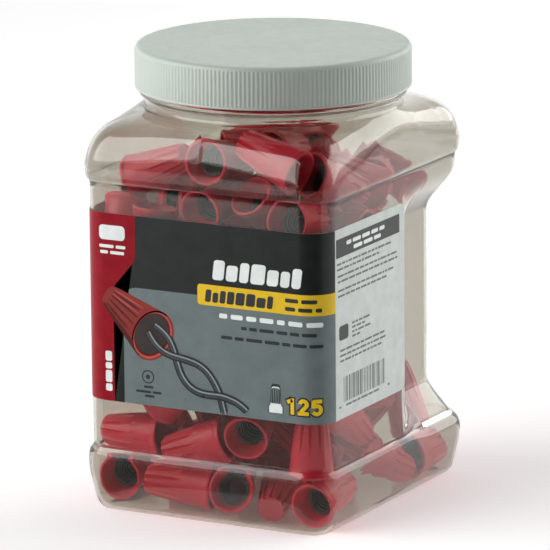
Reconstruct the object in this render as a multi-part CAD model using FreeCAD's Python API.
import FreeCAD, Part
import math
import os
import random
from FreeCAD import Vector

# Square-shouldered pinch-grip jar filled with twist-on wire connectors.
# Millimetres, +Z up, base on Z=0, front label face towards -Y, neck on the Z axis.

# ---- jar body (clear moulded PET) ----
PANEL_X = 51.3          # half width of the recessed label panel
PANEL_Y = 58.2          # half depth of the recessed label panel
BAND = 1.9              # the full-size bands stand this far proud of the panel
CORNER_R = 10.3         # upright corner radius of the panel
WALL = 1.0              # wall thickness
NECK_R = 48.3           # neck outside radius
RIM_Z = 171.4           # top of the neck

# Height, and how far the outline stands in from the full-size band.
BODY_STATIONS = [
    (0.0, 6.6), (0.5, 5.3), (1.4, 4.2), (3.0, 3.2), (5.5, 2.4), (9.0, 1.5), (13.5, 0.5), (18.0, 0.0),
    (21.0, 0.1), (23.0, 0.6), (25.0, 1.5), (26.6, 1.9), (30.0, 1.9), (34.0, 1.9), (38.0, 1.9),
    (103.0, 1.9), (107.0, 1.9), (111.0, 1.9), (115.0, 1.9), (119.0, 1.9), (123.0, 1.9),
    (125.4, 1.9), (127.0, 1.4), (128.4, 0.5), (130.0, 0.1), (133.0, 0.0),
]
# Height, and the fraction of the way from the neck circle out to the full-size band.
SHOULDER_STATIONS = [
    (137.0, 0.962), (141.0, 0.896), (144.0, 0.81), (146.3, 0.69), (147.9, 0.55), (149.1, 0.4),
    (150.1, 0.24), (150.9, 0.1), (151.2, 0.03),
]
SHOULDER_NECK_R = 49.0

# ---- hand grips in the rear half of both sides ----
GRIP_DEPTH = 12.2           # how far the grip floor stands in from the panel
GRIP_START_Y = 7.6          # upright edge where the side face turns inwards
GRIP_FLOOR_Y = 27.0         # where the grip floor begins
GRIP_LOW = (19.0, 38.0)     # height of the opening edge and of the floor edge, bottom
GRIP_HIGH = (123.0, 103.0)  # height of the opening edge and of the floor edge, top
GRIP_EDGE_R = 7.0

# ---- neck finish and thread ----
PITCH = 5.08                # five threads to the inch
BEAD_R = 50.7
BEAD_Z = (155.2, 157.8)
NECK_THREAD_R = 49.7
NECK_THREAD_Z = 161.2
NECK_THREAD_TURNS = 1.4

# ---- screw lid ----
LID_R = 52.25               # over the ribs
LID_RIB_DEPTH = 0.35
LID_RIBS = 200
LID_HEM = 0.5               # plain hem below the ribs
LID_Z = (158.05, 174.05)
LID_BORE_R = 50.05
LID_TOP_THICK = 1.6
LID_THREAD_R = 48.65
LID_THREAD_DROP = 1.8       # lid thread sits this far below the neck thread
LID_THREAD_TURNS = 1.25
LINER_R = 49.4
LINER_Z = (171.5, 172.35)

# ---- wrap label ----
LABEL_Z = (43.8, 116.0)
LABEL_GAP = 0.06
LABEL_THICK = 0.16
LABEL_END_Y = 7.0
LABEL_CORNER_R = 3.5

# ---- connector shell and spring ----
SHELL_LENGTH = 26.5
HALF = SHELL_LENGTH / 2.0
MOUTH_R = 8.6
FLUTES = 12
FLUTE_R = 0.8
FLUTE_FROM = 12.5
FLUTE_START_DEPTH = 0.3     # the flutes deepen from here to the tip
FLUTE_END_DEPTH = 1.1
SHELL_OUTSIDE = [(8.35, 0.0), (8.6, 0.35), (8.6, 1.2), (8.3, 1.6), (7.75, 5.5), (7.2, 12.0),
                 (5.75, 23.6), (5.35, 25.4), (4.5, 26.5)]
SHELL_INSIDE = [(7.45, 0.0), (7.1, 3.0), (6.1, 5.6), (4.3, 20.6), (3.2, 21.6)]
SPRING_TOP_R = 6.02         # outside radius of the spring at SPRING_TOP_Z
SPRING_TOP_Z = 5.6
SPRING_LEAN = 0.12          # radius lost for each millimetre towards the tip
COILS = 6
COIL_FROM = 6.4
COIL_PITCH = 2.1

# ---- the fill ----
CONNECTORS = 125
GROUPS = 12
ENVELOPE_TIP_R = 5.75
FILL_GAP = 1.6
FILL_SLOPES = [(0.35, 0.25, 146.0), (-0.3, 0.05, 145.0)]   # heaped surface, highest at the middle
STEPS = 900
INERTIA = 80.0              # how hard a connector is to turn, against how hard it is to shift
LAID_MOBILITY = 0.25        # how readily a laid connector is shifted, against 1 for the rest
START_SEED = 21
SPIN_SEED = 11

# Connectors laid against the front, the right side and the heaped surface before the fill is
# shaken down: middle of the axis, heading round Z from +X, and lift above level, in degrees.
LAID = [
    # bottom row, front to right side
    ((-42, -40, 12), 100, 0), ((-25, -45, 10), 180, 0), ((0, -40, 10), 105, 0),
    ((15, -42, 10), 285, 0), ((25, -45, 18), 180, 45), ((45, -35, 12), 75, 30),
    ((42, 10, 12), 105, -45), ((42, 38, 10), 90, 15),
    # second row
    ((-38, -45, 30), 180, 0), ((-12, -45, 30), 180, 0), ((12, -40, 30), 105, 0),
    ((38, -45, 32), 0, 90), ((42, -20, 30), 150, -30), ((38, 40, 35), 210, 75),
    # below the shoulder
    ((-42, -42, 122), 0, -45), ((-18, -45, 115), 0, -90), ((5, -42, 120), 105, -15),
    ((42, -40, 118), 120, -15), ((38, 30, 122), 150, 30),
    # heaped surface
    ((-25, -42, 132), 0, 0), ((0, -35, 135), 90, 0), ((25, -45, 133), 180, 0),
    ((40, -20, 130), 255, 10), ((-5, -10, 138), 30, 0), ((15, 15, 140), 150, -15),
    ((-25, 10, 136), 300, 0),
]


def lerp(table, z):
    """Straight-line reading of a (height, value) table."""
    if z <= table[0][0]:
        return table[0][1]
    for (z0, v0), (z1, v1) in zip(table, table[1:]):
        if z <= z1:
            return v0 + (v1 - v0) * (z - z0) / (z1 - z0)
    return table[-1][1]


# ---------------------------------------------------------------- jar
def grip_depth(z):
    """Depth of the hand grip below the panel at a height, eased in at both ends."""
    table = [(GRIP_LOW[0], 0.0), (GRIP_LOW[1], 1.0), (GRIP_HIGH[1], 1.0), (GRIP_HIGH[0], 0.0)]
    t = lerp(table, z)
    return GRIP_DEPTH * t * t * (3.0 - 2.0 * t)


def corner_arc(before, corner, after, radius, steps):
    """Points of an arc of the given radius that rounds one corner of an outline."""
    ax, ay = before[0] - corner[0], before[1] - corner[1]
    bx, by = after[0] - corner[0], after[1] - corner[1]
    la = math.sqrt(ax * ax + ay * ay)
    lb = math.sqrt(bx * bx + by * by)
    ax, ay, bx, by = ax / la, ay / la, bx / lb, by / lb
    dot = max(-1.0, min(1.0, ax * bx + ay * by))
    half = math.acos(dot) / 2.0
    cut = max(radius / math.tan(half), 1.2)
    points = []
    for k in range(steps + 1):
        t = k / steps
        w0, w1, w2 = (1 - t) * (1 - t), 2 * t * (1 - t) * math.sin(half), t * t
        total = w0 + w1 + w2
        fx = (w0 * ax + w2 * bx) * cut / total
        fy = (w0 * ay + w2 * by) * cut / total
        points.append((corner[0] + fx, corner[1] + fy))
    return points


def outline_edges(z, inset, at_least=0.0, grips=True):
    """Jar outline at a height as lists of points, one list per side and per corner."""
    if z <= BODY_STATIONS[-1][0]:
        stand_in = max(lerp(BODY_STATIONS, z), at_least) + inset
        spread = 1.0
    else:
        stand_in = at_least + inset
        spread = lerp([(BODY_STATIONS[-1][0], 1.0)] + SHOULDER_STATIONS, z)
    a = PANEL_X + BAND - stand_in
    b = PANEL_Y + BAND - stand_in
    r = CORNER_R + BAND - stand_in
    depth = grip_depth(z) if grips else 0.0
    y1 = GRIP_START_Y - 0.3 * inset
    y2 = GRIP_FLOOR_Y - 0.5 * inset
    e = GRIP_EDGE_R
    corners = [(a, -b, r), (a, y1, e), (a - depth, y2, e), (a - depth, b, r),
               (depth - a, b, r), (depth - a, y2, e), (-a, y1, e), (-a, -b, r)]
    arcs = []
    for i, (x, y, radius) in enumerate(corners):
        arcs.append(corner_arc(corners[i - 1], (x, y), corners[(i + 1) % 8], radius, 6))
    sides = []
    for arc, following in zip(arcs, arcs[1:] + arcs[:1]):
        (x0, y0), (x1, y1) = arc[-1], following[0]
        sides.append([(x0 + (x1 - x0) * k / 4.0, y0 + (y1 - y0) * k / 4.0) for k in range(5)])
    neck = SHOULDER_NECK_R - inset
    edges = []
    for arc, side in zip(arcs, sides):
        for line in (arc, side):
            moved = []
            for x, y in line:
                far = math.sqrt(x * x + y * y)
                scale = (neck + (far - neck) * spread) / far
                moved.append((x * scale, y * scale))
            edges.append(moved)
    return edges, spread < 1.0


def outline_wire(z, inset, level):
    lines, curved = outline_edges(z, inset)
    edges = []
    for i, line in enumerate(lines):
        points = [Vector(x, y, level) for x, y in line]
        if i % 2 == 1 and not curved:
            edges.append(Part.makeLine(points[0], points[-1]))
            continue
        curve = Part.BSplineCurve()
        curve.interpolate(points)
        edges.append(curve.toShape())
    return Part.Wire(edges)


def body_solid(inset, floor):
    """Solid inside the jar outline, from the floor up to the top of the shoulder."""
    top = SHOULDER_STATIONS[-1][0]
    wires = []
    for z, _ in BODY_STATIONS + SHOULDER_STATIONS:
        level = floor + z * (top - inset * 0.8 - floor) / top
        wires.append(outline_wire(z, inset, level))
    return Part.makeLoft(wires, True, True)


def helix_edge(radius, z0, z1, turns):
    steps = int(turns * 16)
    points = []
    for k in range(steps + 1):
        angle = 2.0 * math.pi * turns * k / steps
        z = z0 + (z1 - z0) * k / steps
        points.append(Vector(radius * math.cos(angle), radius * math.sin(angle), z))
    curve = Part.BSplineCurve()
    curve.interpolate(points)
    return curve.toShape()


def thread_ridge(root_r, crest_r, z, turns, root_half, crest_half):
    """Trapezoid thread ridge winding upwards around Z."""
    rise = PITCH * turns
    corners = [(root_r, -root_half), (crest_r, -crest_half), (crest_r, crest_half), (root_r, root_half)]
    edges = [helix_edge(r, z + dz, z + dz + rise, turns) for r, dz in corners]
    faces = []
    for first, second in zip(edges, edges[1:] + edges[:1]):
        faces.append(Part.makeRuledSurface(first, second))
    for end in (0, -1):
        ring = [edge.Vertexes[end].Point for edge in edges]
        faces.append(Part.Face(Part.makePolygon(ring + ring[:1])))
    solid = Part.makeSolid(Part.makeShell(Part.makeCompound(faces).Faces))
    return solid if solid.Volume > 0 else solid.reversed()


def tube(r_out, r_in, z0, z1):
    outer = Part.makeCylinder(r_out, z1 - z0, Vector(0, 0, z0))
    return outer.cut(Part.makeCylinder(r_in, z1 - z0 + 2, Vector(0, 0, z0 - 1)))


def ring_section(points):
    """Solid of revolution about Z from a closed (radius, height) outline."""
    wire = Part.makePolygon([Vector(r, 0, z) for r, z in points + points[:1]])
    return Part.Face(wire).revolve(Vector(0, 0, 0), Vector(0, 0, 1), 360)


def make_jar():
    outside = body_solid(0.0, 0.0)
    inside = body_solid(WALL, WALL)
    shoulder_top = SHOULDER_STATIONS[-1][0]
    bore_r = NECK_R - 1.4
    body = outside.cut(inside)
    body = body.cut(Part.makeCylinder(bore_r, 10, Vector(0, 0, shoulder_top - 4)))
    r, z0, z1 = BEAD_R, BEAD_Z[0], BEAD_Z[1]
    neck = ring_section([
        (bore_r, shoulder_top - 0.6), (NECK_R + 0.5, shoulder_top - 0.6), (NECK_R, shoulder_top + 1.0),
        (NECK_R, z0), (r - 0.7, z0 + 0.1), (r, z0 + 0.8), (r, z1 - 0.8), (r - 0.7, z1), (NECK_R, z1),
        (NECK_R, RIM_Z - 0.5), (NECK_R - 0.4, RIM_Z), (bore_r, RIM_Z),
    ])
    ridge = thread_ridge(NECK_R - 0.5, NECK_THREAD_R, NECK_THREAD_Z, NECK_THREAD_TURNS, 1.6, 0.4)
    return body.fuse(neck).fuse(ridge)


# ---------------------------------------------------------------- lid
def ribbed_prism(z0, z1):
    points = []
    for k in range(2 * LID_RIBS):
        angle = math.pi * k / LID_RIBS
        r = LID_R if k % 2 == 0 else LID_R - LID_RIB_DEPTH
        points.append(Vector(r * math.cos(angle), r * math.sin(angle), z0))
    return Part.Face(Part.makePolygon(points + points[:1])).extrude(Vector(0, 0, z1 - z0))


def make_lid():
    z0, z1 = LID_Z
    rim = LID_R - LID_RIB_DEPTH
    skirt = ribbed_prism(z0 + LID_HEM, z1 - 1.5)
    skirt = skirt.fuse(Part.makeCylinder(LID_R - 0.05, LID_HEM, Vector(0, 0, z0)))
    cap = ring_section([
        (0, z1 - 1.5), (LID_R - 0.05, z1 - 1.5), (rim + 0.15, z1 - 0.9), (rim - 0.2, z1 - 0.4),
        (rim - 0.6, z1 - 0.12), (rim - 1.1, z1), (0, z1),
    ])
    lid = skirt.fuse(cap)
    lid = lid.cut(Part.makeCylinder(LID_BORE_R, z1 - LID_TOP_THICK - z0 + 1, Vector(0, 0, z0 - 1)))
    ridge = thread_ridge(LID_BORE_R + 0.5, LID_THREAD_R, NECK_THREAD_Z - LID_THREAD_DROP,
                         LID_THREAD_TURNS, 1.3, 0.35)
    return lid.fuse(ridge)


def make_liner():
    z0, z1 = LINER_Z
    return Part.makeCylinder(LINER_R, z1 - z0, Vector(0, 0, z0))


# ---------------------------------------------------------------- label
def label_face(offset, z):
    """Half-way-round outline of the panel, grown by an offset and closed behind."""
    a, b, r = PANEL_X + offset, PANEL_Y + offset, CORNER_R + offset
    k = r * (1.0 - math.sqrt(0.5))
    back = LABEL_END_Y
    edges = [
        Part.makeLine(Vector(-a, back, z), Vector(-a, r - b, z)),
        Part.Arc(Vector(-a, r - b, z), Vector(k - a, k - b, z), Vector(r - a, -b, z)).toShape(),
        Part.makeLine(Vector(r - a, -b, z), Vector(a - r, -b, z)),
        Part.Arc(Vector(a - r, -b, z), Vector(a - k, k - b, z), Vector(a, r - b, z)).toShape(),
        Part.makeLine(Vector(a, r - b, z), Vector(a, back, z)),
        Part.makeLine(Vector(a, back, z), Vector(-a, back, z)),
    ]
    return Part.Face(Part.Wire(edges))


def make_label():
    z0, z1 = LABEL_Z
    height = Vector(0, 0, z1 - z0)
    strip = label_face(LABEL_GAP + LABEL_THICK, z0).extrude(height)
    strip = strip.cut(label_face(LABEL_GAP, z0 - 1).extrude(height + Vector(0, 0, 2)))
    box = Part.makeBox(2 * PANEL_X - 4, 4, z1 - z0 + 2, Vector(2 - PANEL_X, LABEL_END_Y - 2, z0 - 1))
    strip = strip.cut(box)
    r = LABEL_CORNER_R
    for z, inward in ((z0, 1), (z1, -1)):
        block = Part.makeBox(120, r, r, Vector(-60, LABEL_END_Y - r, z if inward > 0 else z - r))
        disc = Part.makeCylinder(r, 120, Vector(-60, LABEL_END_Y - r, z + inward * r), Vector(1, 0, 0))
        strip = strip.cut(block.cut(disc))
    return strip


# ---------------------------------------------------------------- connectors
def make_shell():
    """Connector shell, mouth on Z=0 and closed end up the Z axis."""
    body = ring_section([(0.0, 0.0)] + SHELL_OUTSIDE + [(0.0, SHELL_LENGTH)])
    (open_r, _), (_, depth) = SHELL_INSIDE[0], SHELL_INSIDE[-1]
    body = body.cut(ring_section([(0.0, -1.0), (open_r, -1.0)] + SHELL_INSIDE + [(0.0, depth)]))
    start = Vector(SHELL_OUTSIDE[5][0] + FLUTE_R - FLUTE_START_DEPTH, 0, FLUTE_FROM)
    end = Vector(SHELL_OUTSIDE[-2][0] + FLUTE_R - FLUTE_END_DEPTH, 0, SHELL_LENGTH)
    groove = Part.makeCylinder(FLUTE_R, 20, start, end - start)
    groove = groove.fuse(Part.makeSphere(FLUTE_R, start))
    cutters = []
    for k in range(FLUTES):
        turned = groove.copy()
        turned.rotate(Vector(0, 0, 0), Vector(0, 0, 1), 360.0 * k / FLUTES)
        cutters.append(turned)
    return body.cut(cutters)


def spring_radius(z):
    return SPRING_TOP_R - SPRING_LEAN * (z - SPRING_TOP_Z)


def make_spring():
    """Tapered square-wire spring that grips the wires, with its coils closed up."""
    end = COIL_FROM + COILS * COIL_PITCH
    points = [(spring_radius(COIL_FROM), COIL_FROM), (spring_radius(end), end)]
    for k in range(COILS):
        top = end - k * COIL_PITCH
        low = top - COIL_PITCH
        points.append((spring_radius(top) - 0.35, top))
        points.append((spring_radius(top) - 0.95, top - 0.45))
        points.append((spring_radius(low) - 0.95, low + 0.85))
        points.append((spring_radius(low) - 0.35, low + 0.4))
    return ring_section(points)


class Piece:
    """One connector of the fill: middle of its axis, and the way its closed end points."""

    def __init__(self, centre, axis, mobility):
        self.c = list(centre)
        length = math.sqrt(axis[0] ** 2 + axis[1] ** 2 + axis[2] ** 2)
        self.u = [v / length for v in axis]
        self.w = mobility
        self.home = list(centre)


def reach(piece, dx, dy, dz):
    """Farthest extent of a connector's plain cone along a direction, and where it is."""
    cx, cy, cz = piece.c
    ux, uy, uz = piece.u
    along = ux * dx + uy * dy + uz * dz
    across = math.sqrt(max(1e-9, 1.0 - along * along))
    mouth = MOUTH_R * across - HALF * along
    tip = ENVELOPE_TIP_R * across + HALF * along
    if mouth > tip:
        s, r, value = -HALF, MOUTH_R / across, mouth
    else:
        s, r, value = HALF, ENVELOPE_TIP_R / across, tip
    px = cx + ux * s + (dx - along * ux) * r
    py = cy + uy * s + (dy - along * uy) * r
    pz = cz + uz * s + (dz - along * uz) * r
    return cx * dx + cy * dy + cz * dz + value, px, py, pz


def block_reach(points, dx, dy, dz):
    best = max(points, key=lambda p: p[0] * dx + p[1] * dy + p[2] * dz)
    return best[0] * dx + best[1] * dy + best[2] * dz, best[0], best[1], best[2]


def widest_gap(first, second, d, tries):
    """Direction from the first body to the second in which they stand farthest apart."""
    best = None
    step = 0.05
    dx, dy, dz = d
    for _ in range(tries):
        ha, ax, ay, az = first(dx, dy, dz)
        hb, bx, by, bz = second(-dx, -dy, -dz)
        gap = -ha - hb
        if best is None or gap > best[0]:
            best = (gap, dx, dy, dz, ax, ay, az, bx, by, bz)
        else:
            step *= 0.5
        gx, gy, gz = bx - ax, by - ay, bz - az
        along = gx * dx + gy * dy + gz * dz
        dx = dx + (gx - along * dx) * step
        dy = dy + (gy - along * dy) * step
        dz = dz + (gz - along * dz) * step
        length = math.sqrt(dx * dx + dy * dy + dz * dz)
        dx, dy, dz = dx / length, dy / length, dz / length
    return best


def push(piece, px, py, pz, dx, dy, dz, amount):
    """Move and turn a connector so that the point shifts along a direction."""
    rx, ry, rz = px - piece.c[0], py - piece.c[1], pz - piece.c[2]
    tx, ty, tz = ry * dz - rz * dy, rz * dx - rx * dz, rx * dy - ry * dx
    share = amount / (1.0 + (tx * tx + ty * ty + tz * tz) / INERTIA)
    piece.c[0] += dx * share
    piece.c[1] += dy * share
    piece.c[2] += dz * share
    k = share / INERTIA
    wx, wy, wz = tx * k, ty * k, tz * k
    ux, uy, uz = piece.u
    ux, uy, uz = ux + wy * uz - wz * uy, uy + wz * ux - wx * uz, uz + wx * uy - wy * ux
    length = math.sqrt(ux * ux + uy * uy + uz * uz)
    piece.u = [ux / length, uy / length, uz / length]


def cavity_walls():
    """Outward directions, each with the farthest the inside of the jar reaches that way."""
    points = []
    for z, _ in BODY_STATIONS[:8] + BODY_STATIONS[-1:] + SHOULDER_STATIONS:
        lines, _ = outline_edges(z, WALL, at_least=BAND, grips=False)
        height = max(z, WALL) if z > 0.4 else WALL
        for line in lines:
            points += [(x, y, height - (0.8 if z > 134 else 0.0)) for x, y in line]
    walls = []
    for tilt in range(-75, 90, 15):
        for turn in range(0, 360, 15):
            n = (math.cos(math.radians(tilt)) * math.cos(math.radians(turn)),
                 math.cos(math.radians(tilt)) * math.sin(math.radians(turn)),
                 math.sin(math.radians(tilt)))
            walls.append(n + (block_reach(points, *n)[0] - 0.5,))
    walls.append((0.0, 0.0, -1.0, -WALL - 0.4))
    for lean_x, lean_y, height in FILL_SLOPES:
        length = math.sqrt(lean_x ** 2 + lean_y ** 2 + 1.0)
        walls.append((lean_x / length, lean_y / length, 1.0 / length, height / length))
    return walls


def grip_blocks():
    """Blocks that the fill stays clear of: each grip, and the rounded rear corner beside it."""
    x = PANEL_X - GRIP_DEPTH - WALL - 0.5
    y = PANEL_Y - WALL - 0.5
    cut = (CORNER_R - WALL) * (2.0 - math.sqrt(2.0))
    blocks = []
    for side in (1, -1):
        grip = []
        corner = []
        for z, out in ((GRIP_LOW[1] - 5, 0.0), (GRIP_HIGH[1] + 5, 0.0),
                       (GRIP_LOW[0] - 3, 13.0), (GRIP_HIGH[0] + 3, 13.0)):
            front = GRIP_START_Y - 3.5 if out else GRIP_FLOOR_Y - 4.5
            grip.append((side * (x + out), front, z))
            grip.append((side * (x + out), 80.0, z))
            corner.append((side * (x + out), y - cut, z))
            corner.append((side * (x + out - cut), y, z))
            corner.append((side * (x + out + 20.0), y + 20.0, z))
        blocks.append((side, grip))
        blocks.append((side, corner))
    return blocks


def start_pieces():
    rng = random.Random(START_SEED)
    pieces = []
    for centre, heading, lift in LAID:
        turn, level = math.radians(heading), math.cos(math.radians(lift))
        axis = [level * math.cos(turn), level * math.sin(turn), math.sin(math.radians(lift))]
        pieces.append(Piece(centre, axis, LAID_MOBILITY))
    while len(pieces) < CONNECTORS:
        x = 84.0 * (rng.random() - 0.5)
        y = 98.0 * (rng.random() - 0.5)
        z = 10.0 + 128.0 * rng.random()
        if y > 10.0 and abs(x) > 32.0 and 20.0 < z < 120.0:
            continue
        nearest = min((x - p.c[0]) ** 2 + (y - p.c[1]) ** 2 + (z - p.c[2]) ** 2 for p in pieces)
        if nearest < 190.0 - len(pieces) * 0.9:
            continue
        axis = [rng.random() - 0.5, rng.random() - 0.5, 0.8 * (rng.random() - 0.5)]
        pieces.append(Piece([x, y, z], axis, 1.0))
    return pieces


def near_pairs(pieces):
    pairs = []
    for i, a in enumerate(pieces):
        for j in range(i + 1, len(pieces)):
            b = pieces[j]
            gap = (a.c[0] - b.c[0]) ** 2 + (a.c[1] - b.c[1]) ** 2 + (a.c[2] - b.c[2]) ** 2
            if gap < 1000.0:
                pairs.append((i, j))
    return pairs


def separate(pieces, pairs, memory, margin):
    """Push every pair of connectors apart to the wanted gap."""
    for i, j in pairs:
        a, b = pieces[i], pieces[j]
        d = memory.get((i, j))
        tries = 3
        if d is None:
            d = [q - p for p, q in zip(a.c, b.c)]
            length = math.sqrt(d[0] ** 2 + d[1] ** 2 + d[2] ** 2) + 1e-6
            d = [v / length for v in d]
            tries = 10
        found = widest_gap(lambda x, y, z: reach(a, x, y, z), lambda x, y, z: reach(b, x, y, z), d, tries)
        memory[(i, j)] = found[1:4]
        short = margin - found[0]
        if short > 0.0:
            _, dx, dy, dz, ax, ay, az, bx, by, bz = found
            share = 0.8 * short / (a.w + b.w)
            push(a, ax, ay, az, -dx, -dy, -dz, share * a.w)
            push(b, bx, by, bz, dx, dy, dz, share * b.w)


def contain(pieces, walls, blocks, memory):
    """Keep every connector inside the jar and off the hand grips."""
    for i, piece in enumerate(pieces):
        cx, cy, cz = piece.c
        for nx, ny, nz, limit in walls:
            if cx * nx + cy * ny + cz * nz + 16.5 > limit:
                far, px, py, pz = reach(piece, nx, ny, nz)
                if far > limit:
                    push(piece, px, py, pz, -nx, -ny, -nz, far - limit)
                    cx, cy, cz = piece.c
        for k, (side, block) in enumerate(blocks):
            if cy < -15.0 or cx * side < 10.0:
                continue
            d = memory.get((i, -1 - k), (side * 0.9, 0.4, 0.0))
            found = widest_gap(lambda x, y, z: reach(piece, x, y, z),
                               lambda x, y, z: block_reach(block, x, y, z), d, 5)
            memory[(i, -1 - k)] = found[1:4]
            if found[0] < 0.3:
                _, dx, dy, dz, ax, ay, az = found[:7]
                push(piece, ax, ay, az, -dx, -dy, -dz, 0.3 - found[0])


def settle():
    """Spread the connectors through the jar so that none touches another or the wall."""
    pieces = start_pieces()
    walls = cavity_walls()
    blocks = grip_blocks()
    memory = {}
    for step in range(STEPS):
        if step % 8 == 0:
            pairs = near_pairs(pieces)
        if step % 100 == 0:
            memory.clear()
        margin = FILL_GAP * min(1.0, step / 300.0) if step < STEPS - 150 else 0.6 * FILL_GAP
        separate(pieces, pairs, memory, margin)
        contain(pieces, walls, blocks, memory)
    return pieces


def placed_copy(shape, piece, spin):
    turn = FreeCAD.Rotation(Vector(0, 0, 1), Vector(*piece.u))
    turn = turn.multiply(FreeCAD.Rotation(Vector(0, 0, 1), spin))
    mouth = Vector(*piece.c) - Vector(*piece.u) * HALF
    moved = shape.copy()
    moved.Placement = FreeCAD.Placement(mouth, turn)
    return moved


def save(shape, name):
    shape.exportStep("parts/%s.step" % name)


def main():
    os.makedirs("parts", exist_ok=True)
    save(make_jar(), "jar_body")
    save(make_lid(), "screw_lid")
    save(make_liner(), "lid_liner")
    save(make_label(), "wrap_label")
    shell = make_shell()
    spring = make_spring()
    spins = random.Random(SPIN_SEED)
    pieces = sorted(settle(), key=lambda p: p.c[2])
    for piece in pieces:
        piece.spin = 360.0 * spins.random()
    for group in range(GROUPS):
        first = group * CONNECTORS // GROUPS
        last = (group + 1) * CONNECTORS // GROUPS
        chosen = pieces[first:last]
        shells = [placed_copy(shell, p, p.spin) for p in chosen]
        springs = [placed_copy(spring, p, p.spin) for p in chosen]
        save(Part.makeCompound(shells), "connector_shells_%02d" % (group + 1))
        save(Part.makeCompound(springs), "connector_springs_%02d" % (group + 1))


main()
